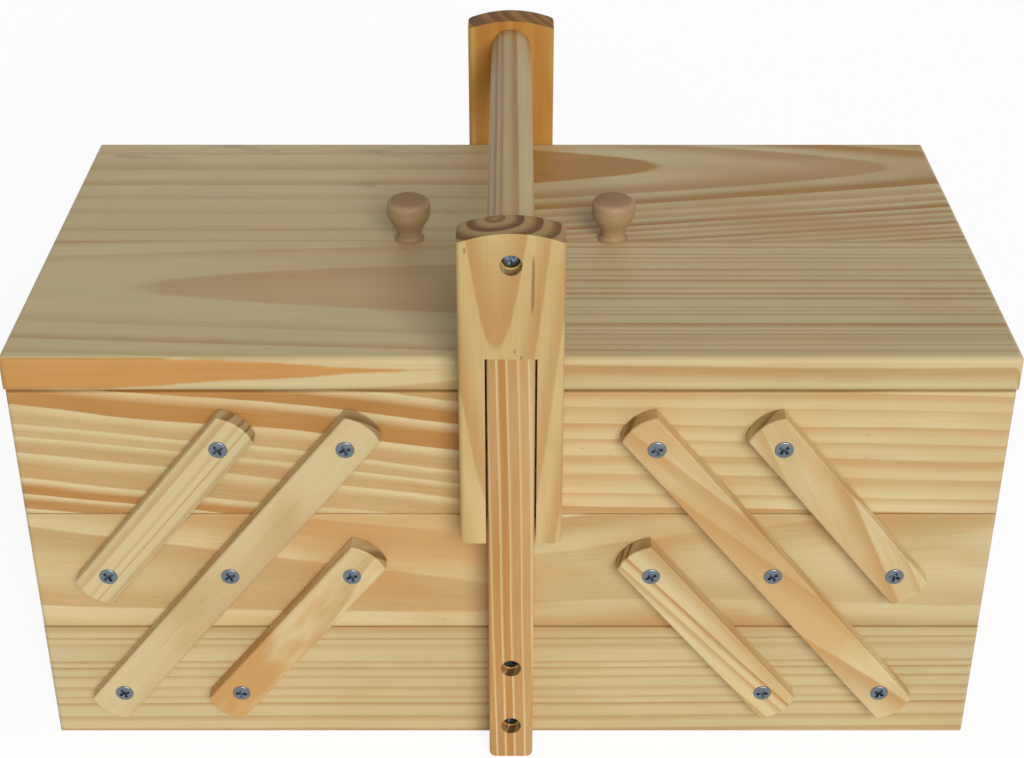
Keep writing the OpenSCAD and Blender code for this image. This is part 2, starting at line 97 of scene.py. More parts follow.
class CarrierWoodSettings(bpy.types.PropertyGroup):
    """Tones of the woods under their clear satin lacquer"""
    pale: colour_prop("Early wood", "Pale wood between the rings of the pine", tone(221, 200, 152))
    late: colour_prop("Late wood", "Orange-brown wood of the rings of the pine", tone(184, 134, 74))
    heart: colour_prop("Heartwood", "Warm orange wood near the pith", tone(202, 150, 84))
    end_grain: colour_prop("End grain", "Brown that sawn ends soak up to", tone(112, 78, 46))
    amber: colour_prop("Amber", "Yellow that the oldest boards are tinted with", tone(214, 180, 96))
    smudge: colour_prop("Smudge", "Grey clouds of handling on the lids and the grip", tone(150, 138, 112))
    speck: colour_prop("Resin specks", "Dark short strokes along the grain", tone(105, 72, 42))
    beech: colour_prop("Beech", "Pinkish tan of the turned knobs", tone(174, 144, 108))
    fleck: colour_prop("Beech flecks", "Short darker flecks in the beech", tone(120, 84, 60))
    ply: colour_prop("Plywood", "Pale face of the thin bottoms", tone(222, 196, 150))


class CarrierMetalSettings(bpy.types.PropertyGroup):
    """Sizes and tones of the screws and hinges"""
    zinc: colour_prop("Zinc", "Bluish plating of the pivot and handle screws", tone(116, 124, 132))
    brass: colour_prop("Brass", "Plating of the small hinges and their screws", tone(214, 176, 96))
    rim_share: FloatProperty(
        name="Rim", description="Width of a head as a share of its countersink", default=0.93, min=0.8, max=1)
    dome_share: FloatProperty(
        name="Dome", description="Rise of a head as a share of its radius", default=0.13, min=0, max=0.3)
    recess_width: length_prop("Recess width", "Width of each wing of a cross recess", 0.00125)
    recess_share: FloatProperty(
        name="Recess reach", description="Reach of the cross recess as a share of the head's width",
        default=0.6, min=0.3, max=0.8)
    recess_depth: length_prop("Recess depth", "Depth of the cross recess", 0.0016)
    turn_seed: IntProperty(name="Turn seed", description="Seed of how far each screw is turned", default=7)


class CarrierTurnedSettings(bpy.types.PropertyGroup):
    """Shape of the turned knobs and the grip bar"""
    neck_share: FloatProperty(
        name="Neck", description="Width of a knob's neck as a share of its head",
        default=0.547, min=0.3, max=0.9)
    foot_share: FloatProperty(
        name="Foot", description="Width of a knob's foot as a share of its head",
        default=0.674, min=0.3, max=1)
    steps: IntProperty(name="Steps", description="Number of steps round a turned piece", default=96, min=24)


class CarrierStageSettings(bpy.types.PropertyGroup):
    """Camera and light of the studio"""
    camera_out: length_prop("Camera distance", "Distance of the camera in front of the box's middle", 0.7199)
    camera_up: length_prop("Camera height", "Height of the camera over the floor", 0.54693)
    camera_dip: FloatProperty(
        name="Camera dip", description="How far the camera looks down", subtype="ANGLE",
        default=math.radians(30.72))
    focal_length: FloatProperty(name="Focal length", description="Lens in millimetres", default=63.96, min=10)
    frame_shift: FloatProperty(name="Frame shift", description="Sideways shift of the frame", default=0.00098)
    key_strength: FloatProperty(name="Key light", description="Strength of the key light", default=2.2, min=0)
    key_rise: FloatProperty(
        name="Key rise", description="Angle of the key light over the floor", subtype="ANGLE",
        default=math.radians(27))
    key_turn: FloatProperty(
        name="Key turn", description="Angle of the key light to the right of the camera", subtype="ANGLE",
        default=math.radians(16))
    key_softness: FloatProperty(
        name="Key softness", description="Apparent width of the key light", subtype="ANGLE",
        default=math.radians(34))
    fill_strength: FloatProperty(
        name="Fill light", description="Strength of the light all round", default=0.22, min=0)


class Graph:
    """Node tree of one material, with short calls for its nodes"""

    def __init__(self, name):
        self.material = bpy.data.materials.new(name)
        self.material.use_nodes = True
        self.tree = self.material.node_tree
        self.tree.nodes.clear()
        self.shader = self.tree.nodes.new("ShaderNodeBsdfPrincipled")
        output = self.tree.nodes.new("ShaderNodeOutputMaterial")
        self.tree.links.new(self.shader.outputs[0], output.inputs[0])

    def feed(self, socket, value):
        if isinstance(value, bpy.types.NodeSocket):
            self.tree.links.new(value, socket)
        elif socket.type == "RGBA" and len(value) == 3:
            socket.default_value = (*value, 1)
        else:
            socket.default_value = value

    def math(self, operation, first, second=0.0, third=0.0):
        node = self.tree.nodes.new("ShaderNodeMath")
        node.operation = operation
        for socket, value in zip(node.inputs, (first, second, third)):
            self.feed(socket, value)
        return node.outputs[0]

    def plus(self, *terms):
        total = terms[0]
        for term in terms[1:]:
            total = self.math("ADD", total, term)
        return total

    def times(self, *factors):
        product = factors[0]
        for factor in factors[1:]:
            product = self.math("MULTIPLY", product, factor)
        return product

    def minus(self, first, second):
        return self.math("SUBTRACT", first, second)

    def rest(self, share):
        """What a share leaves of 1"""
        return self.minus(1.0, share)

    def about(self, middle, share, spread):
        """A middle value moved up or down by a share from 0 to 1, over a spread"""
        return self.plus(middle, self.times(self.minus(share, 0.5), spread))

    def vector(self, operation, first, second=(0, 0, 0)):
        node = self.tree.nodes.new("ShaderNodeVectorMath")
        node.operation = operation
        self.feed(node.inputs[0], first)
        self.feed(node.inputs[1], second)
        return node.outputs["Value" if operation in ("DOT_PRODUCT", "LENGTH") else "Vector"]

    def scaled(self, vector, factor):
        result = self.vector("SCALE", vector)
        self.feed(result.node.inputs["Scale"], factor)
        return result

    def stretched(self, where, x, y, z):
        return self.vector("MULTIPLY", where, (x, y, z))

    def smooth(self, value, low, high):
        """0 below low, 1 above high and an S curve between"""
        node = self.tree.nodes.new("ShaderNodeMapRange")
        node.interpolation_type = "SMOOTHSTEP"
        for socket, entry in zip(node.inputs[:5], (value, low, high, 0.0, 1.0)):
            self.feed(socket, entry)
        return node.outputs[0]

    def mix(self, factor, first, second, blend="MIX"):
        node = self.tree.nodes.new("ShaderNodeMix")
        node.data_type = "RGBA"
        node.blend_type = blend
        self.feed(node.inputs["Factor"], factor)
        colours = [s for s in node.inputs if s.type == "RGBA"]
        self.feed(colours[0], first)
        self.feed(colours[1], second)
        return next(s for s in node.outputs if s.type == "RGBA")

    def noise(self, where, scale, detail=2.0, roughness=0.5, dims="3D"):
        node = self.tree.nodes.new("ShaderNodeTexNoise")
        node.noise_dimensions = dims
        self.feed(node.inputs["W" if dims == "1D" else "Vector"], where)
        node.inputs["Scale"].default_value = scale
        node.inputs["Detail"].default_value = detail
        node.inputs["Roughness"].default_value = roughness
        return node.outputs

    def random(self, value):
        node = self.tree.nodes.new("ShaderNodeTexWhiteNoise")
        node.noise_dimensions = "1D"
        self.feed(node.inputs["W"], value)
        return node.outputs["Value"]

    def split(self, value):
        node = self.tree.nodes.new("ShaderNodeSeparateXYZ")
        self.feed(node.inputs[0], value)
        return node.outputs

    def coordinates(self, output="Object"):
        return self.tree.nodes.new("ShaderNodeTexCoord").outputs[output]

    def placed(self, origin, axes):
        """Object coordinates in millimetres from an origin, along the grain, across it and out of the face"""
        node = self.tree.nodes.new("ShaderNodeMapping")
        node.vector_type = "TEXTURE"
        self.feed(node.inputs["Vector"], self.coordinates())
        node.inputs["Location"].default_value = origin
        node.inputs["Rotation"].default_value = axes.to_euler("XYZ")
        node.inputs["Scale"].default_value = (MM, MM, MM)
        return node.outputs[0]

    def bump(self, height, distance, strength=1.0):
        node = self.tree.nodes.new("ShaderNodeBump")
        node.inputs["Strength"].default_value = strength
        node.inputs["Distance"].default_value = distance
        self.feed(node.inputs["Height"], height)
        self.feed(self.shader.inputs["Normal"], node.outputs[0])


def axes_of(along, out):
    """Turn whose X runs along the grain and whose Z points out of the shown face"""
    along = Vector(along).normalized()
    out = Vector(out).normalized()
    across = out.cross(along)
    return Matrix((along, across, out)).transposed()


def tilted(axes, degrees):
    """The same axes, turned in the plane of the shown face"""
    return axes @ Matrix.Rotation(math.radians(degrees), 3, "Z")


class Figure:
    """How a board lies in its log, and how strongly it shows. Lengths in millimetres, from the shown face"""
    # Middle of the log, across the board and below its face
    pith = (0, -60)
    # Width of a ring, how fast the rings narrow outwards, and the share of a ring that the count starts at
    ring = 5.0
    tighten = 0.0
    phase = 0.0
    # How much the rings spread along the board
    taper = 0.0
    # Sideways wander of the grain, and the length over which it wanders
    wave = 1.5
    wave_length = 90.0
    # Shares of a ring where its late wood begins and is full, how strong it is and how unequal the rings are
    late = (0.35, 0.9)
    contrast = 0.8
    uneven = 0.8
    # Strength and size of the warm patches of heartwood
    heart = 0.3
    heart_size = 60.0
    # Strength of the light and dark clouds, of the grey smudges and of the amber tint
    blotch = 0.12
    smudge = 0.0
    yellow = 0.0
    # Brightness of the whole board; on the lids it is lowered as painted shade, which darkens their tops
    shade = 1.0
    seed = 0
    # Dark splits and pin holes
    marks = ()

    def __init__(self, **values):
        for name, value in values.items():
            if not hasattr(Figure, name):
                raise AttributeError(name)
            setattr(self, name, value)
        self.start = self.seed * 37.0


def ring_count(graph, bent, figure):
    """Number of rings from the pith out to each point"""
    x, y, z = graph.split(bent)[:3]
    across = graph.minus(y, figure.pith[0])
    below = graph.minus(z, figure.pith[1])
    radius = graph.math("SQRT", graph.plus(graph.times(across, across), graph.times(below, below)))
    radius = graph.plus(radius, graph.times(x, figure.taper))
    count = graph.plus(graph.math("DIVIDE", radius, figure.ring), figure.phase)
    if figure.tighten:
        count = graph.plus(count, graph.times(radius, radius, figure.tighten))
    spread = graph.noise(graph.plus(count, figure.start), 0.45, 1.0, 0.5, "1D")[0]
    return graph.plus(count, graph.times(spread, 2 * figure.uneven))


def late_wood(graph, shifted, count, figure):
    """Share of late wood: it rises through a ring and ends sharply, stronger in some rings and places"""
    part = graph.math("FRACT", count)
    late = graph.times(graph.smooth(part, *figure.late), graph.rest(graph.smooth(part, 0.93, 1.0)))
    number = graph.math("FLOOR", graph.plus(count, figure.start))
    strength = graph.plus(0.45, graph.times(graph.random(number), 0.75))
    patch = graph.noise(graph.stretched(shifted, 0.4, 1.0, 1.0), 1 / 45.0, 2.0)[0]
    strength = graph.times(strength, graph.plus(0.55, graph.times(patch, 0.9)))
    return graph.times(late, strength)


def marked(graph, bent, mark):
    """1 on a dark mark along the grain, such as a split or a pin hole, and 0 off it"""
    mark_x, mark_y, half_length, half_width = mark
    off = graph.vector("ABSOLUTE", graph.vector("SUBTRACT", bent, (mark_x, mark_y, 0)))
    off_x, off_y, off_z = graph.split(off)[:3]
    line = graph.rest(graph.smooth(off_y, half_width * 0.4, half_width))
    line = graph.times(line, graph.rest(graph.smooth(off_x, half_length * 0.6, half_length)))
    return graph.times(line, graph.rest(graph.smooth(off_z, 2.0, 3.0)))


def pine_colour(graph, where, figure, woods):
    """Colour of pine from its rings, heartwood and fibres, with the share of late wood and the fibres"""
    start = figure.start
    shifted = graph.vector("ADD", where, (start, start * 0.7, start * 1.3))
    warp = graph.noise(graph.stretched(shifted, 0.35, 1.0, 1.0), 1 / figure.wave_length, 2.5, 0.55)["Color"]
    bend = graph.scaled(graph.vector("SUBTRACT", warp, (0.5, 0.5, 0.5)), 2 * figure.wave)
    bent = graph.vector("ADD", where, bend)
    late = late_wood(graph, shifted, ring_count(graph, bent, figure), figure)
    frayed = graph.noise(graph.stretched(shifted, 0.05, 2.4, 2.4), 1.0, 2.0)[0]
    late = graph.times(late, graph.plus(0.7, graph.times(frayed, 0.6)))
    colour = graph.mix(graph.times(late, figure.contrast), tuple(woods.pale), tuple(woods.late))

    zone = graph.noise(graph.stretched(shifted, 0.45, 1.2, 1.2), 1 / figure.heart_size, 3.0, 0.6)[0]
    colour = graph.mix(graph.times(graph.smooth(zone, 0.42, 0.62), figure.heart), colour, tuple(woods.heart))
    if figure.yellow:
        colour = graph.mix(figure.yellow, colour, tuple(woods.amber), "MULTIPLY")

    blotch = graph.noise(graph.stretched(shifted, 0.3, 1.0, 1.0), 1 / 28.0, 3.0, 0.6)[0]
    fibre = graph.noise(graph.stretched(shifted, 0.035, 3.2, 3.2), 1.0, 3.0, 0.65)[0]
    streak = graph.noise(graph.stretched(shifted, 0.012, 0.9, 0.9), 1.0, 2.0)[0]
    light = 1.0
    for share, spread in ((blotch, figure.blotch * 2), (fibre, 0.2), (streak, 0.14)):
        light = graph.about(light, share, spread)
    # Brightness of the board; on the lids this carries painted shade for their tops
    colour = graph.scaled(colour, graph.times(light, figure.shade))
    if figure.smudge:
        cloud = graph.noise(graph.stretched(shifted, 0.5, 1.6, 1.6), 1 / 26.0, 4.0, 0.7)[0]
        grey = graph.times(graph.smooth(cloud, 0.58, 0.75), figure.smudge)
        colour = graph.mix(grey, colour, tuple(woods.smudge))

    dash = graph.noise(graph.stretched(shifted, 0.16, 2.6, 2.6), 1.0, 1.0)[0]
    rare = graph.noise(shifted, 1 / 14.0, 2.0)[0]
    dark = graph.times(graph.smooth(dash, 0.73, 0.8), graph.smooth(rare, 0.48, 0.62))
    for mark in figure.marks:
        broken = graph.times(marked(graph, bent, mark), graph.smooth(frayed, 0.3, 0.5))
        dark = graph.math("MAXIMUM", dark, broken)
    colour = graph.mix(graph.times(dark, 0.6), colour, tuple(woods.speck))
    return colour, late, fibre


def end_grain_share(graph, along):
    """1 where the surface is a sawn end, 0 along the grain"""
    facing = graph.vector("DOT_PRODUCT", graph.coordinates("Normal"), tuple(along))
    return graph.smooth(graph.math("ABSOLUTE", facing), 0.72, 0.95)


def finish_wood(graph, colour, rings, fibre, along, woods, end_depth=0.62):
    """Darkens the sawn ends and gives the satin lacquer its gloss and relief"""
    ends = end_grain_share(graph, along)
    soaked = graph.mix(graph.plus(0.45, graph.times(rings, 0.7)), colour, tuple(woods.end_grain))
    colour = graph.mix(graph.times(ends, end_depth), colour, soaked)
    graph.feed(graph.shader.inputs["Base Color"], colour)
    rough = graph.plus(0.40, graph.times(fibre, 0.16), graph.times(ends, 0.2))
    graph.feed(graph.shader.inputs["Roughness"], rough)
    graph.shader.inputs["Specular IOR Level"].default_value = 0.2
    graph.bump(graph.plus(graph.times(rings, 0.5), graph.times(fibre, 0.35)), 0.12 * MM, 0.6)


def board_material(name, origin, axes, figure, end_depth=0.62):
    """Pine for one board"""
    woods = bpy.context.scene.carrier_wood
    graph = Graph(name)
    colour, rings, fibre = pine_colour(graph, graph.placed(origin, axes), figure, woods)
    finish_wood(graph, colour, rings, fibre, axes.col[0], woods, end_depth)
    return graph.material


def edge_streak(graph, where, colour, woods, face_y):
    """Heartwood that tapers to the right along a lid's front edge"""
    tip_x, streak_length = 62.0, 165.0
    widest, middle_z, drop = 8.6, 5.2, 1.8
    warp = graph.noise(graph.stretched(where, 0.3, 1.0, 1.0), 1 / 14.0, 3.0, 0.6)[0]
    x, y, z = graph.split(where)[:3]
    share = graph.math("DIVIDE", graph.minus(tip_x, x), streak_length)
    reach = graph.times(graph.math("POWER", graph.math("MAXIMUM", share, 0.0), 0.8), widest)
    off = graph.math("ABSOLUTE", graph.plus(z, graph.plus(middle_z, graph.times(share, drop))))
    off = graph.about(off, warp, 5.0)
    inside = graph.rest(graph.smooth(graph.minus(off, reach), -0.7, 0.5))
    front = graph.rest(graph.smooth(y, face_y + 0.9, face_y + 1.6))
    streak = graph.vector("MULTIPLY", tuple(woods.heart), (1.0, 0.94, 0.86))
    fibres = graph.noise(graph.stretched(where, 0.03, 2.0, 2.0), 1.0, 3.0, 0.6)[0]
    streak = graph.scaled(streak, graph.plus(0.86, graph.times(fibres, 0.28)))
    return graph.mix(graph.times(inside, front, 0.92), colour, streak)


def lid_material(name, origin, figures, seam_y, streak_y=None):
    """Two glued boards in one lid, which change at the glue line"""
    woods = bpy.context.scene.carrier_wood
    graph = Graph(name)
    where = graph.placed(origin, axes_of((1, 0, 0), (0, 0, 1)))
    front, back = [pine_colour(graph, where, figure, woods) for figure in figures]
    across = graph.split(graph.coordinates())[1]
    side = graph.math("GREATER_THAN", across, seam_y)
    off_seam = graph.math("ABSOLUTE", graph.minus(across, seam_y))
    glue = graph.rest(graph.smooth(off_seam, 0.1 * MM, 0.4 * MM))
    colour = graph.mix(side, front[0], back[0])
    colour = graph.mix(graph.times(glue, 0.35), colour, tuple(woods.speck))
    if streak_y is not None:
        colour = edge_streak(graph, where, colour, woods, streak_y)
    rings = graph.plus(graph.times(front[1], graph.rest(side)), graph.times(back[1], side))
    finish_wood(graph, colour, rings, front[2], (1, 0, 0), woods)
    return graph.material


def beech_material(name, origin):
    """Turned beech with short darker flecks"""
    woods = bpy.context.scene.carrier_wood
    graph = Graph(name)
    where = graph.placed(origin, axes_of((0, 0, 1), (0, -1, 0)))
    cloud = graph.noise(where, 1 / 9.0, 3.0)[0]
    fleck = graph.noise(graph.stretched(where, 0.7, 3.6, 3.6), 1.0, 2.0)[0]
    fibre = graph.noise(graph.stretched(where, 0.12, 4.0, 4.0), 1.0, 3.0, 0.6)[0]
    light = graph.about(graph.plus(0.86, graph.times(cloud, 0.3)), fibre, 0.25)
    colour = graph.scaled(tuple(woods.beech), light)
    colour = graph.mix(graph.times(graph.smooth(fleck, 0.6, 0.72), 0.35), colour, tuple(woods.fleck))
    finish_wood(graph, colour, cloud, fibre, (0, 0, 1), woods, 0.35)
    return graph.material


def ply_material(name):
    """Thin plywood bottom: a broad peeled figure on its faces"""
    figure = Figure(pith=(10, -9), ring=9, taper=0.02, wave=7, wave_length=120, contrast=0.35, heart=0.1,
                    late=(0.2, 0.9), seed=5)
    woods = bpy.context.scene.carrier_wood
    graph = Graph(name)
    axes = axes_of((0, 1, 0), (0, 0, 1))
    colour, rings, fibre = pine_colour(graph, graph.placed((0, 0, 0), axes), figure, woods)
    colour = graph.mix(0.55, colour, tuple(woods.ply))
    finish_wood(graph, colour, rings, fibre, axes.col[0], woods, 0.2)
    graph.shader.inputs["Specular IOR Level"].default_value = 0.15
    return graph.material


def metal_material(name, colour, roughness, grime):
    """Plated metal with faint scuffs and dull spots"""
    graph = Graph(name)
    where = graph.scaled(graph.coordinates(), 1 / MM)
    spots = graph.noise(where, 0.9, 3.0, 0.6)[0]
    scuffs = graph.noise(graph.stretched(where, 6.0, 1.0, 2.0), 1.0, 2.0)[0]
    light = graph.plus(1 - grime, graph.times(spots, 2 * grime))
    graph.feed(graph.shader.inputs["Base Color"], graph.scaled(tuple(colour), light))
    graph.feed(graph.shader.inputs["Roughness"], graph.about(roughness, scuffs, 0.2))
    graph.shader.inputs["Metallic"].default_value = 1.0
    graph.bump(scuffs, 0.03 * MM, 0.5)
    return graph.material


def dress(node, material):
    """Gives a CAD node its material"""
    slots = NODES[node].data.materials
    slots.clear()
    slots.append(material)


def middle(node):
    low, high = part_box(node)
    return (low + high) / 2


def face_point(node, out):
    """Middle of the side of a node's box that looks along out"""
    low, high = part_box(node)
    return Vector([
        high[i] if out[i] > 0 else low[i] if out[i] < 0 else (low[i] + high[i]) / 2 for i in range(3)])


def new_piece(name, mesh, body, node, material):
    """Links a mesh as a piece that rides on a body and stands for a node"""
    piece = bpy.data.objects.new(name, mesh)
    bpy.context.scene.collection.objects.link(piece)
    mesh.materials.clear()
    mesh.materials.append(material)
    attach(piece, body)
    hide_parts(node)
    return piece


def body_of(node):
    return NODES[node]["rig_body"]


FRONT_AXES = axes_of((1, 0, 0), (0, -1, 0))
BACK_AXES = axes_of((1, 0, 0), (0, 1, 0))
END_AXES = {"left": axes_of((0, 1, 0), (-1, 0, 0)), "right": axes_of((0, 1, 0), (1, 0, 0))}

# Tilt of the grain and figure of each board that shows from the front
WALL_FIGURES = {
    "base_front": (0.3, Figure(
        pith=(-75, -30), ring=5.2, wave=1.6, wave_length=110, late=(0.4, 0.9), contrast=0.62, uneven=0.9,
        heart=0.25, heart_size=120, shade=0.87, seed=1)),
    "left_mid_front": (-5, Figure(
        pith=(-4, -22), ring=17, taper=0.035, wave=5, wave_length=120, late=(0.1, 0.75), contrast=0.55,
        uneven=0.4, heart=0.55, heart_size=70, seed=2)),
    "right_mid_front": (4, Figure(
        pith=(3, -14), ring=15, taper=-0.06, wave=8, wave_length=70, late=(0.15, 0.8), contrast=0.6,
        uneven=0.4, heart=0.55, heart_size=55, shade=0.93, seed=3)),
    "left_top_front": (-7, Figure(
        pith=(70, -50), ring=7.2, wave=4.4, wave_length=62, late=(0.0, 0.55), contrast=0.92, uneven=0.45,
        heart=0.3, heart_size=90, seed=4)),
    "right_top_front": (-1, Figure(
        pith=(-60, -30), ring=7.0, wave=2.6, wave_length=80, late=(0.3, 0.9), contrast=0.6, uneven=0.7,
        heart=0.25, heart_size=80, seed=6)),
}


class CARRIER_OT_dress_walls(bpy.types.Operator):
    """Gives the walls and bottoms of the base and trays their pine and plywood"""
    bl_idname = "carrier.dress_walls"
    bl_label = "Dress walls and bottoms"

    def execute(self, context):
        for node, (tilt, figure) in WALL_FIGURES.items():
            axes = tilted(FRONT_AXES, tilt)
            dress(node, board_material(node + "_pine", face_point(node, (0, -1, 0)), axes, figure))
        backs = [n for n in NODES if n.endswith("_back") and n not in WALL_FIGURES]
        for i, node in enumerate(sorted(backs)):
            figure = Figure(pith=(60 - 35 * i, -34), ring=5.5 + 0.9 * i, wave=2.2, taper=0.01 * (i - 2),
                            contrast=0.62, heart=0.3, seed=20 + i)
            axes = tilted(BACK_AXES, 2 - i)
            dress(node, board_material(node + "_pine", face_point(node, (0, 1, 0)), axes, figure))
        ends = [n for n in NODES if n.endswith("_end")]
        for i, node in enumerate(sorted(ends)):
            side = "left" if "left" in node else "right"
            axes = END_AXES[side]
            figure = Figure(pith=(40 - 16 * i, -20 - 3 * i), ring=5 + 0.6 * i, wave=2.5,
                            taper=0.012 * (i % 3 - 1), contrast=0.62, heart=0.3, seed=40 + i)
            dress(node, board_material(node + "_pine", face_point(node, axes.col[2]), axes, figure))
        ply = ply_material("plywood")
        for node in NODES:
            if node.endswith("_bottom"):
                dress(node, ply)
        return {"FINISHED"}


# Front board and back board of each lid. Their shade below 1 is painted shade: it darkens the lid tops, which
# the light leaves darker and greyer than the fronts
LID_FIGURES = {
    "left": (
        Figure(pith=(-46, -40), ring=500, tighten=0.0009, phase=0.154, taper=-0.042, wave=1.6,
               wave_length=100, late=(0.45, 0.9), contrast=0.55, uneven=0.12, heart=0.25, heart_size=90,
               shade=0.92, seed=8),
        Figure(pith=(260, -60), ring=15.0, wave=1.6, wave_length=120, late=(0.4, 0.92), contrast=0.45,
               uneven=0.8, heart=0.12, smudge=0.5, shade=0.92, seed=9)),
    "right": (
        Figure(pith=(-330, -60), ring=5.2, wave=1.0, wave_length=110, late=(0.45, 0.9), contrast=0.75,
               uneven=0.9, heart=0.12, shade=0.92, seed=10),
        Figure(pith=(77, -20), ring=64, tighten=0.00123, phase=0.27, taper=0.13, wave=2.4, wave_length=80,
               late=(0.1, 0.75), contrast=0.95, uneven=0.12, heart=0.4, heart_size=60, shade=0.9, seed=11)),
}
# Place of the glue line from front to back
LID_SEAM = -2.3 * MM


class CARRIER_OT_dress_lids(bpy.types.Operator):
    """Gives each lid its two glued boards"""
    bl_idname = "carrier.dress_lids"
    bl_label = "Dress lids"

    def execute(self, context):
        for side in SIDES:
            node = side + "_lid_boards"
            low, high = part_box(node)
            origin = (middle(node)[0], 0, high[2])
            streak_y = low[1] / MM if side == "left" else None
            dress(node, lid_material(node + "_pine", origin, LID_FIGURES[side], LID_SEAM, streak_y))
        return {"FINISHED"}


# Tilt of the grain and figure of each arm on the front
ARM_FIGURES = {
    "left_front_long_arm": (0, Figure(
        pith=(14, -40), ring=13, wave=3, contrast=0.35, heart=0.45, heart_size=60, shade=0.92, seed=12)),
    "left_front_upper_arm": (0, Figure(
        pith=(40, -16), ring=4.6, wave=0.8, late=(0.5, 0.9), contrast=0.6, heart=0.05, shade=0.92, seed=13)),
    "left_front_lower_arm": (0, Figure(
        pith=(4, -12), ring=14, taper=0.08, wave=6, wave_length=40, contrast=0.45, heart=0.85, heart_size=34,
        seed=14)),
    "right_front_long_arm": (7, Figure(
        pith=(22, -22), ring=11, taper=0.05, wave=3, contrast=0.55, heart=0.55, heart_size=50, seed=15)),
    "right_front_upper_arm": (-14, Figure(
        pith=(30, -25), ring=10, wave=2.5, contrast=0.6, heart=0.4, heart_size=40, seed=16)),
    "right_front_lower_arm": (4, Figure(
        pith=(26, -18), ring=7, wave=1.8, contrast=0.75, heart=0.4, heart_size=50, seed=17)),
}
# Width of an arm, from its last pivot to its tip, and rise of its rounded tip
ARM_WIDTH = 18 * MM
ARM_END = 14 * MM
ARM_CROWN = 2.5 * MM


class CARRIER_OT_dress_arms(bpy.types.Operator):
    """Gives each arm its own strip of pine, with the grain along the arm"""
    bl_idname = "carrier.dress_arms"
    bl_label = "Dress arms"

    def execute(self, context):
        for i, node in enumerate(sorted(n for n in NODES if n.endswith("_arm"))):
            out = (0, -1, 0) if "front" in node else (0, 1, 0)
            low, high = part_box(node)
            along = arm_direction(high[0] - low[0], high[2] - low[2], 1 if "left" in node else -1)
            tilt, figure = ARM_FIGURES.get(node, (0, Figure(
                pith=(30 - 6 * i, -18 - 2 * i), ring=6 + 0.7 * i, wave=2, contrast=0.55, heart=0.35,
                seed=60 + i)))
            axes = tilted(axes_of(along, out), tilt)
            dress(node, board_material(node + "_pine", face_point(node, out), axes, figure, 0.75))
        return {"FINISHED"}


def arm_direction(run, rise, lean):
    """Direction of an arm from the box round it: its width and rounded ends take their share of the box"""
    angle = math.atan2(run, rise)
    ends = 2 * (ARM_END - ARM_CROWN)
    for step in range(20):
        length_x = run - ARM_WIDTH * math.cos(angle) - ends * math.sin(angle)
        length_z = rise - ARM_WIDTH * math.sin(angle) - ends * math.cos(angle)
        angle = math.atan2(length_x, length_z)
    return (lean * math.sin(angle), 0, math.cos(angle))


# A split and a few pin holes in the front fork: place up and across, half length, half width
FORK_MARKS = (
    (49, -8, 14, 0.8), (20, -1.4, 1.1, 0.5), (17, -4, 1.1, 0.5), (14, -3.4, 0.9, 0.4), (63, 17.5, 1.2, 0.6))

HANDLE_FIGURES = {
    "front_post": (0.9, Figure(
        pith=(75, -25), ring=4.0, wave=2.4, wave_length=85, late=(0.0, 0.3), contrast=1.15, uneven=0.35,
        heart=0.25, seed=18)),
    "front_fork": (0, Figure(
        pith=(6, -14), ring=7, phase=0.11, taper=-0.0875, wave=1.6, wave_length=60, late=(0.25, 0.85),
        contrast=0.58, uneven=0.15, heart=0.18, heart_size=40, yellow=0.4, shade=1.06, seed=19,
        marks=FORK_MARKS)),
    "back_post": (-0.6, Figure(
        pith=(60, -20), ring=4.4, wave=1.2, wave_length=70, late=(0.0, 0.4), contrast=0.9, heart=0.3,
        seed=31)),
    "back_fork": (0, Figure(
        pith=(-30, -20), ring=7, wave=2.0, wave_length=60, late=(0.1, 0.8), contrast=0.8, heart=0.8,
        heart_size=60, yellow=0.8, shade=1.1, seed=32)),
}


class CARRIER_OT_dress_handle(bpy.types.Operator):
    """Gives the posts and forks their striped and yellow pine"""
    bl_idname = "carrier.dress_handle"
    bl_label = "Dress posts and forks"

    def execute(self, context):
        out = (0, -1, 0)
        for node, (tilt, figure) in HANDLE_FIGURES.items():
            axes = tilted(axes_of((0, 0, 1), out), tilt)
            dress(node, board_material(node + "_pine", face_point(node, out), axes, figure, 0.95))
        return {"FINISHED"}


def islands(node):
    """Separate solids of a CAD node, each as a list of its corners, in order of their places"""
    mesh = bmesh.new()
    mesh.from_mesh(NODES[node].data)
    bmesh.ops.remove_doubles(mesh, verts=mesh.verts, dist=1e-6)
    left = set(mesh.verts)
    groups = []
    while left:
        stack = [left.pop()]
        group = []
        while stack:
            vert = stack.pop()
            group.append(vert.co.copy())
            for edge in vert.link_edges:
                other = edge.other_vert(vert)
                if other in left:
                    left.remove(other)
                    stack.append(other)
        groups.append(group)
    mesh.free()
    return sorted(groups, key=lambda group: tuple(round(min(p[i] for p in group), 5) for i in range(3)))


def screw_places(node):
    """Head centre, inward direction, head width, shank width and length of each screw in a CAD node"""
    places = []
    for points in islands(node):
        low = Vector([min(p[i] for p in points) for i in range(3)])
        high = Vector([max(p[i] for p in points) for i in range(3)])
        size = high - low
        axis = max(range(3), key=lambda i: size[i])
        centre = (low + high) / 2
        radial = [i for i in range(3) if i != axis]

        def radius_at(end):
            ring = [p for p in points if abs(p[axis] - end) < 0.01 * MM]
            return max(math.hypot(*(p[i] - centre[i] for i in radial)) for p in ring)

        radii = {end: radius_at(end) for end in (low[axis], high[axis])}
        head_at = max(radii, key=radii.get)
        tip_at = min(radii, key=radii.get)
        inward = Vector((0, 0, 0))
        inward[axis] = 1 if tip_at > head_at else -1
        head = centre.copy()
        head[axis] = head_at
        places.append((head, inward, 2 * radii[head_at], 2 * radii[tip_at], size[axis]))
    return places


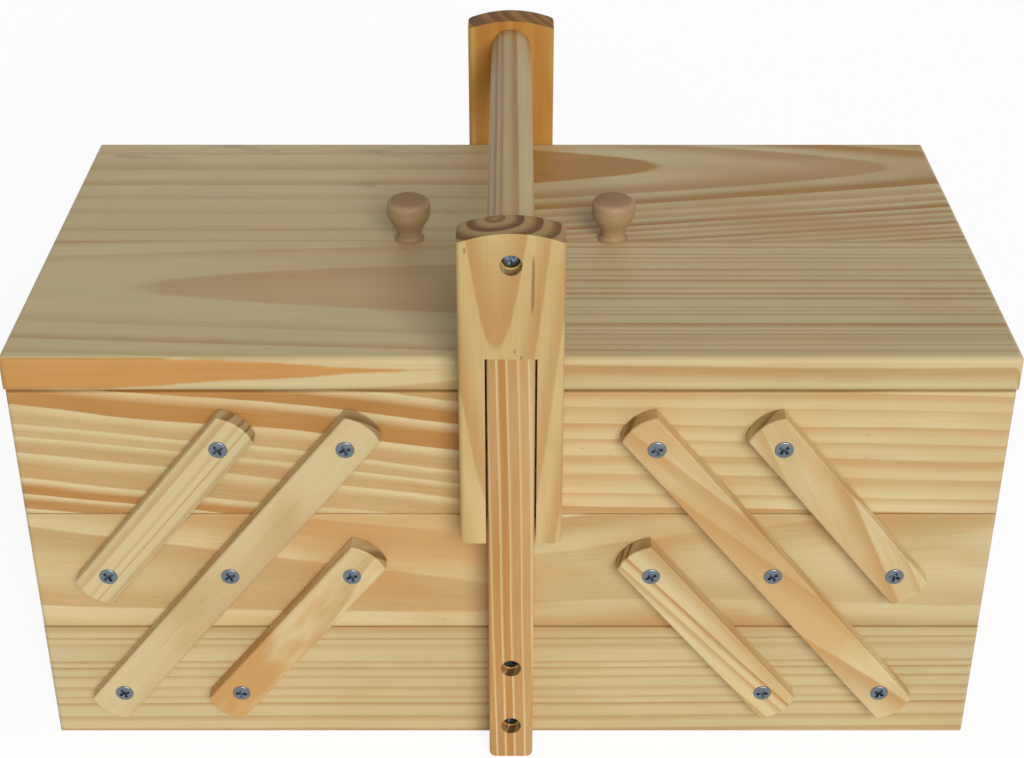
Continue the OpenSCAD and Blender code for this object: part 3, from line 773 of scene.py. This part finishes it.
SCREW_INPUTS = ("Head width", "Shank width", "Length", "Rim share", "Dome share", "Recess width",
                "Recess reach", "Recess depth")
# Sides of a screw's head, of its shank and of the well in its recess
HEAD_SIDES = 48
SHANK_SIDES = 32
WELL_SIDES = 24
# How far the dome keeps inside the head's rim, widths of the well at its tip and top, and its drop
DOME_INSET = 0.985
WELL_TIP = 0.35
WELL_TOP = 1.25
WELL_DROP = -1.2


class Shaper:
    """Geometry nodes of one group, with short calls for its nodes"""

    def __init__(self, name):
        self.tree = bpy.data.node_groups.new(name, "GeometryNodeTree")

    def socket(self, label, way, kind):
        self.tree.interface.new_socket(label, in_out=way, socket_type=kind)

    def made(self, kind, inputs=None, **settings):
        """A node with its settings, and its inputs linked or set"""
        node = self.tree.nodes.new(kind)
        for name, value in settings.items():
            setattr(node, name, value)
        for name, value in (inputs or {}).items():
            if isinstance(value, bpy.types.NodeSocket):
                self.tree.links.new(value, node.inputs[name])
            else:
                node.inputs[name].default_value = value
        return node

    def number(self, operation, first, second):
        return self.made("ShaderNodeMath", {0: first, 1: second}, operation=operation).outputs[0]

    def times(self, first, second):
        return self.number("MULTIPLY", first, second)

    def triple(self, x, y, z):
        return self.made("ShaderNodeCombineXYZ", {0: x, 1: y, 2: z}).outputs[0]

    def shape(self, kind, **inputs):
        named = {name.replace("_", " "): value for name, value in inputs.items()}
        return self.made("GeometryNodeMesh" + kind, named).outputs["Mesh"]

    def placed(self, mesh, **inputs):
        return self.made("GeometryNodeTransform", {"Geometry": mesh, **inputs}).outputs["Geometry"]

    def merged(self, operation, socket_name, meshes, inputs=None):
        node = self.made("GeometryNodeMeshBoolean", inputs, operation=operation, solver="MANIFOLD")
        for mesh in meshes:
            self.tree.links.new(mesh, node.inputs[socket_name])
        return node.outputs["Mesh"]


def screw_head(shaper, given, head_radius, shank_radius, head_height):
    """Countersunk cone with a slight dome"""
    rim_radius = shaper.times(head_radius, given["Rim share"])
    cone = shaper.shape("Cone", Vertices=HEAD_SIDES, Radius_Top=shank_radius, Radius_Bottom=rim_radius,
                        Depth=head_height)
    ball = shaper.shape("UVSphere", Segments=HEAD_SIDES, Rings=HEAD_SIDES // 3,
                        Radius=shaper.times(rim_radius, DOME_INSET))
    dome = shaper.placed(ball, Scale=shaper.triple(1.0, 1.0, given["Dome share"]))
    return shaper.merged("UNION", "Mesh 2", (cone, dome))


def recess_cutters(shaper, given, head_radius):
    """Two crossed wings and a tapered well, which cut the cross recess"""
    reach = shaper.times(given["Head width"], given["Recess reach"])
    width = given["Recess width"]
    depth = given["Recess depth"]
    wing_size = shaper.triple(reach, width, shaper.times(depth, 2))
    cutters = [shaper.placed(shaper.shape("Cube", Size=wing_size), Rotation=(0, 0, turn))
               for turn in (0, math.pi / 2)]
    well = shaper.shape("Cone", Vertices=WELL_SIDES, Radius_Top=shaper.times(width, WELL_TIP),
                        Radius_Bottom=shaper.times(width, WELL_TOP), Depth=depth)
    drop = shaper.times(shaper.times(head_radius, given["Dome share"]), WELL_DROP)
    cutters.append(shaper.placed(well, Translation=shaper.triple(0.0, 0.0, drop)))
    return cutters


def drive(shaper, given, screw):
    """Sets a screw on every point, headed inward and turned by chance"""
    inward = shaper.made("GeometryNodeInputNamedAttribute", {"Name": "inward"}, data_type="FLOAT_VECTOR")
    aim = shaper.made("FunctionNodeAlignRotationToVector", {"Vector": inward.outputs["Attribute"]}, axis="Z")
    driven = shaper.made("GeometryNodeInstanceOnPoints", {
        "Points": given["Geometry"], "Instance": screw, "Rotation": aim.outputs[0]})
    chance = shaper.made("FunctionNodeRandomValue", {"Seed": given["Turn seed"]}, data_type="FLOAT")
    low, high = [s for s in chance.inputs if s.type == "VALUE" and s.enabled][:2]
    low.default_value = 0.0
    high.default_value = math.pi / 2
    amount = next(s for s in chance.outputs if s.enabled)
    spin = shaper.made("FunctionNodeEulerToRotation", {0: shaper.triple(0.0, 0.0, amount)})
    return shaper.made("GeometryNodeRotateInstances", {
        "Instances": driven.outputs["Instances"], "Rotation": spin.outputs[0]}).outputs[0]


def screw_tree(material):
    """Geometry nodes that set a cross-recessed countersunk screw on every point"""
    shaper = Shaper("Countersunk screws")
    shaper.socket("Geometry", "INPUT", "NodeSocketGeometry")
    for label in SCREW_INPUTS:
        shaper.socket(label, "INPUT", "NodeSocketFloat")
    shaper.socket("Turn seed", "INPUT", "NodeSocketInt")
    shaper.socket("Geometry", "OUTPUT", "NodeSocketGeometry")
    given = shaper.tree.nodes.new("NodeGroupInput").outputs

    head_radius = shaper.times(given["Head width"], 0.5)
    shank_radius = shaper.times(given["Shank width"], 0.5)
    head_height = shaper.number("SUBTRACT", head_radius, shank_radius)
    shank_length = shaper.number("SUBTRACT", given["Length"], head_height)
    head = screw_head(shaper, given, head_radius, shank_radius, head_height)
    head = shaper.merged("DIFFERENCE", "Mesh 2", recess_cutters(shaper, given, head_radius), {"Mesh 1": head})
    shank = shaper.shape("Cylinder", Vertices=SHANK_SIDES, Radius=shank_radius, Depth=shank_length)
    shank_middle = shaper.number("ADD", head_height, shaper.times(shank_length, 0.5))
    shank = shaper.placed(shank, Translation=shaper.triple(0.0, 0.0, shank_middle))
    screw = shaper.made("GeometryNodeJoinGeometry")
    for mesh in (head, shank):
        shaper.tree.links.new(mesh, screw.inputs[0])

    driven = drive(shaper, given, screw.outputs[0])
    real = shaper.made("GeometryNodeRealizeInstances", {0: driven})
    plated = shaper.made("GeometryNodeSetMaterial", {"Geometry": real.outputs[0], "Material": material})
    shaper.made("NodeGroupOutput", {0: plated.outputs[0]})
    return shaper.tree


# Width of the head that the recess's width is given for
FULL_HEAD = 7.8 * MM
# Share of a head's height that its recess may reach down
RECESS_LIMIT = 0.65


def driven_screws(places, tree, seed):
    """Mesh of like screws at the given places"""
    metal = bpy.context.scene.carrier_metal
    points = bpy.data.meshes.new("screw_points")
    points.from_pydata([place[0] for place in places], [], [])
    inward = points.attributes.new("inward", "FLOAT_VECTOR", "POINT")
    for i, place in enumerate(places):
        inward.data[i].vector = place[1]
    holder = bpy.data.objects.new("screw_points", points)
    bpy.context.scene.collection.objects.link(holder)
    modifier = holder.modifiers.new("Screws", "NODES")
    modifier.node_group = tree
    head_width, shank_width, length = places[0][2:]
    values = {
        "Head width": head_width, "Shank width": shank_width, "Length": length,
        "Rim share": metal.rim_share, "Dome share": metal.dome_share,
        "Recess width": metal.recess_width * head_width / FULL_HEAD, "Recess reach": metal.recess_share,
        "Recess depth": min(metal.recess_depth, (head_width - shank_width) / 2 * RECESS_LIMIT),
        "Turn seed": seed,
    }
    for item in tree.interface.items_tree:
        if item.in_out == "INPUT" and item.name in values:
            modifier[item.identifier] = values[item.name]
    graph = bpy.context.evaluated_depsgraph_get()
    mesh = bpy.data.meshes.new_from_object(holder.evaluated_get(graph), depsgraph=graph)
    bpy.data.objects.remove(holder)
    if not mesh.polygons:
        raise RuntimeError("the screws came out empty")
    return mesh


class CARRIER_OT_make_screws(bpy.types.Operator):
    """Drives every screw: pivots, handle, hinges and knobs"""
    bl_idname = "carrier.make_screws"
    bl_label = "Drive screws"

    def execute(self, context):
        metal = context.scene.carrier_metal
        zinc = metal_material("zinc_plate", metal.zinc, 0.27, 0.14)
        tree = screw_tree(zinc)
        for i, node in enumerate(sorted(n for n in NODES if n.endswith("screws"))):
            kinds = {}
            for place in screw_places(node):
                kinds.setdefault(tuple(round(v, 4) for v in place[2:]), []).append(place)
            parts = [driven_screws(places, tree, metal.turn_seed + i) for places in kinds.values()]
            mesh = joined(node + "_driven", parts)
            mesh.shade_smooth()
            mesh.set_sharp_from_angle(angle=math.radians(32))
            new_piece(node + "_driven", mesh, body_of(node), node, zinc)
        return {"FINISHED"}


def joined(name, parts):
    """One mesh from several"""
    whole = bmesh.new()
    for part in parts:
        whole.from_mesh(part)
        bpy.data.meshes.remove(part)
    mesh = bpy.data.meshes.new(name)
    whole.to_mesh(mesh)
    whole.free()
    return mesh


def turned_mesh(name, outline, steps, centre, axis):
    """Turned piece: an outline of (radius, height) points spun round an axis, smooth all over"""
    work = bmesh.new()
    verts = [work.verts.new((r, 0, h)) for r, h in outline]
    edges = [work.edges.new(pair) for pair in zip(verts, verts[1:])]
    bmesh.ops.spin(work, geom=verts + edges, cent=(0, 0, 0), axis=(0, 0, 1), angle=2 * math.pi, steps=steps)
    bmesh.ops.remove_doubles(work, verts=work.verts, dist=1e-6)
    bmesh.ops.recalc_face_normals(work, faces=work.faces)
    for face in work.faces:
        face.smooth = True
    turn = Vector((0, 0, 1)).rotation_difference(Vector(axis)).to_matrix().to_4x4()
    work.transform(Matrix.Translation(centre) @ turn)
    mesh = bpy.data.meshes.new(name)
    work.to_mesh(mesh)
    work.free()
    return mesh


# Heights along a knob as shares of it, and how full its dome is
KNOB_FOOT = 0.05
KNOB_WAIST = 0.12
KNOB_BELLY = 0.68
KNOB_BRIM = 0.82
KNOB_DOME = 0.6
KNOB_EASE = 0.2 * MM


def knob_outline(width, height, neck_share, foot_share, steps=24):
    """Half outline of a knob, as the part's own solid has it: foot, waist, widening body and dome"""
    head = width / 2
    neck = head * neck_share
    foot = head * foot_share
    shares = (KNOB_FOOT, KNOB_WAIST, KNOB_BELLY, KNOB_BRIM)
    foot_top, waist, belly, brim = [height * share for share in shares]
    turns = [math.pi / 2 * i / steps for i in range(steps + 1)]
    points = [(0, 0), (foot - KNOB_EASE, 0), (foot, KNOB_EASE)]
    points += [(foot - (foot - neck) * math.sin(a), foot_top + (waist - foot_top) * (1 - math.cos(a)))
               for a in turns[:-1]]
    points += [(neck + (head - neck) * (1 - math.cos(2 * a)) / 2, waist + (belly - waist) * 2 * a / math.pi)
               for a in turns]
    points += [(head * math.cos(a) ** KNOB_DOME, brim + (height - brim) * math.sin(a)) for a in turns[:-1]]
    points.append((0, height))
    return points


class CARRIER_OT_make_knobs(bpy.types.Operator):
    """Turns the two knobs"""
    bl_idname = "carrier.make_knobs"
    bl_label = "Turn knobs"

    def execute(self, context):
        turned = context.scene.carrier_turned
        for side in SIDES:
            node = side + "_knob"
            low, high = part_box(node)
            outline = knob_outline(high[0] - low[0], high[2] - low[2], turned.neck_share, turned.foot_share)
            centre = Vector(((low[0] + high[0]) / 2, (low[1] + high[1]) / 2, low[2]))
            mesh = turned_mesh(node + "_turned", outline, turned.steps, centre, (0, 0, 1))
            beech = beech_material(node + "_beech", centre + Vector((0.02, 0.03, 0)))
            new_piece(node + "_turned", mesh, body_of(node), node, beech)
        return {"FINISHED"}


# Eased edge of the bar's ends, and number of bands along it
GRIP_EASE = 0.4 * MM
GRIP_BANDS = 24


class CARRIER_OT_make_grip(bpy.types.Operator):
    """Turns the round grip bar between the forks"""
    bl_idname = "carrier.make_grip"
    bl_label = "Turn grip bar"

    def execute(self, context):
        node = "grip_bar"
        low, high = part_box(node)
        radius = (high[0] - low[0]) / 2
        length = high[1] - low[1]
        outline = [(0, 0), (radius - GRIP_EASE, 0), (radius, GRIP_EASE)]
        outline += [(radius, length * i / GRIP_BANDS) for i in range(1, GRIP_BANDS)]
        outline += [(radius, length - GRIP_EASE), (radius - GRIP_EASE, length), (0, length)]
        centre = Vector((0, low[1], (low[2] + high[2]) / 2))
        steps = context.scene.carrier_turned.steps
        mesh = turned_mesh("grip_bar_turned", outline, steps, centre, (0, 1, 0))
        figure = Figure(pith=(26, -16), ring=4.6, wave=1.2, wave_length=90, late=(0.2, 0.85), contrast=0.75,
                        heart=0.15, smudge=0.3, yellow=0.25, shade=0.9, seed=33)
        pine = board_material("grip_bar_pine", (0, 0, high[2]), axes_of((0, 1, 0), (0, 0, 1)), figure)
        new_piece("grip_bar_turned", mesh, body_of(node), node, pine)
        return {"FINISHED"}


class CARRIER_OT_dress_hinges(bpy.types.Operator):
    """Gives the hinge leaves and pins their brass plating"""
    bl_idname = "carrier.dress_hinges"
    bl_label = "Dress hinges"

    def execute(self, context):
        brass = metal_material("brass_plate", context.scene.carrier_metal.brass, 0.28, 0.1)
        for node in NODES:
            if "hinge" in node:
                dress(node, brass)
        return {"FINISHED"}


class CARRIER_OT_set_stage(bpy.types.Operator):
    """Sets the floor, the lights, the plain white surround and the camera"""
    bl_idname = "carrier.set_stage"
    bl_label = "Set stage"

    def execute(self, context):
        stage = context.scene.carrier_stage
        self.add_floor()
        self.add_surround(stage)
        self.add_key(stage)
        self.add_camera(context, stage)
        context.scene.view_settings.view_transform = "Standard"
        return {"FINISHED"}

    def add_floor(self):
        mesh = bpy.data.meshes.new("floor")
        reach = 6.0
        corners = [(x * reach, y * reach, 0) for x, y in ((-1, -1), (1, -1), (1, 1), (-1, 1))]
        mesh.from_pydata(corners, [], [(0, 1, 2, 3)])
        floor = bpy.data.objects.new("floor", mesh)
        bpy.context.scene.collection.objects.link(floor)
        graph = Graph("floor_white")
        graph.shader.inputs["Base Color"].default_value = (0.86, 0.86, 0.86, 1)
        graph.shader.inputs["Roughness"].default_value = 0.9
        graph.shader.inputs["Specular IOR Level"].default_value = 0.1
        glow = graph.tree.nodes.new("ShaderNodeEmission")
        glow.inputs["Strength"].default_value = 1.12
        rays = graph.tree.nodes.new("ShaderNodeLightPath").outputs
        seen = graph.math("MAXIMUM", rays["Is Camera Ray"],
                          graph.math("MAXIMUM", rays["Is Glossy Ray"], rays["Is Transmission Ray"]))
        blend = graph.tree.nodes.new("ShaderNodeMixShader")
        graph.feed(blend.inputs[0], graph.times(seen, 0.78))
        graph.tree.links.new(graph.shader.outputs[0], blend.inputs[1])
        graph.tree.links.new(glow.outputs[0], blend.inputs[2])
        output = next(n for n in graph.tree.nodes if n.type == "OUTPUT_MATERIAL")
        graph.tree.links.new(blend.outputs[0], output.inputs[0])
        mesh.materials.append(graph.material)

    def add_surround(self, stage):
        world = bpy.data.worlds.new("surround")
        bpy.context.scene.world = world
        world.use_nodes = True
        tree = world.node_tree
        tree.nodes.clear()
        rays = tree.nodes.new("ShaderNodeLightPath").outputs
        seen = rays["Is Camera Ray"]
        for name in ("Is Glossy Ray", "Is Transmission Ray"):
            most = tree.nodes.new("ShaderNodeMath")
            most.operation = "MAXIMUM"
            tree.links.new(seen, most.inputs[0])
            tree.links.new(rays[name], most.inputs[1])
            seen = most.outputs[0]
        strength = tree.nodes.new("ShaderNodeMapRange")
        tree.links.new(seen, strength.inputs["Value"])
        strength.inputs["To Min"].default_value = stage.fill_strength
        strength.inputs["To Max"].default_value = 1.0
        background = tree.nodes.new("ShaderNodeBackground")
        background.inputs["Color"].default_value = (1, 1, 1, 1)
        tree.links.new(strength.outputs[0], background.inputs["Strength"])
        output = tree.nodes.new("ShaderNodeOutputWorld")
        tree.links.new(background.outputs[0], output.inputs[0])

    def add_key(self, stage):
        lamp = bpy.data.lights.new("key", "SUN")
        lamp.energy = stage.key_strength
        lamp.angle = stage.key_softness
        key = bpy.data.objects.new("key", lamp)
        bpy.context.scene.collection.objects.link(key)
        towards = Vector((math.sin(stage.key_turn) * math.cos(stage.key_rise),
                          -math.cos(stage.key_turn) * math.cos(stage.key_rise), math.sin(stage.key_rise)))
        key.rotation_euler = towards.to_track_quat("Z", "Y").to_euler()

    def add_camera(self, context, stage):
        lens = bpy.data.cameras.new("camera")
        lens.sensor_width = 36
        lens.lens = stage.focal_length
        lens.shift_x = stage.frame_shift
        lens.clip_start = 0.01
        camera = bpy.data.objects.new("camera", lens)
        context.scene.collection.objects.link(camera)
        camera.location = (0, -stage.camera_out, stage.camera_up)
        camera.rotation_euler = (math.pi / 2 - stage.camera_dip, 0, 0)
        context.scene.camera = camera


OPERATORS = (
    CARRIER_OT_dress_walls, CARRIER_OT_dress_lids, CARRIER_OT_dress_arms, CARRIER_OT_dress_handle,
    CARRIER_OT_make_screws, CARRIER_OT_make_knobs, CARRIER_OT_make_grip, CARRIER_OT_dress_hinges,
    CARRIER_OT_set_stage,
)


class CARRIER_PT_panel(bpy.types.Panel):
    """Lists the steps that dress the carrier"""
    bl_label = "Sewing Carrier"
    bl_idname = "CARRIER_PT_panel"
    bl_space_type = "VIEW_3D"
    bl_region_type = "UI"
    bl_category = "Carrier"

    def draw(self, context):
        for operator in OPERATORS:
            self.layout.operator(operator.bl_idname)
        for name in SETTINGS:
            box = self.layout.box()
            group = getattr(context.scene, name)
            for prop in type(group).__annotations__:
                box.prop(group, prop)


SETTINGS = {
    "carrier_wood": CarrierWoodSettings,
    "carrier_metal": CarrierMetalSettings,
    "carrier_turned": CarrierTurnedSettings,
    "carrier_stage": CarrierStageSettings,
}


def register():
    for group in SETTINGS.values():
        bpy.utils.register_class(group)
    for name, group in SETTINGS.items():
        setattr(bpy.types.Scene, name, PointerProperty(type=group))
    for operator in OPERATORS:
        bpy.utils.register_class(operator)
    bpy.utils.register_class(CARRIER_PT_panel)


def unregister():
    bpy.utils.unregister_class(CARRIER_PT_panel)
    for operator in reversed(OPERATORS):
        bpy.utils.unregister_class(operator)
    for name in SETTINGS:
        delattr(bpy.types.Scene, name)
    for group in reversed(list(SETTINGS.values())):
        bpy.utils.unregister_class(group)


def main():
    register()
    bpy.ops.carrier.dress_walls()
    bpy.ops.carrier.dress_lids()
    bpy.ops.carrier.dress_arms()
    bpy.ops.carrier.dress_handle()
    bpy.ops.carrier.make_screws()
    bpy.ops.carrier.make_knobs()
    bpy.ops.carrier.make_grip()
    bpy.ops.carrier.dress_hinges()
    bpy.ops.carrier.set_stage()


if __name__ == "__main__":
    main()
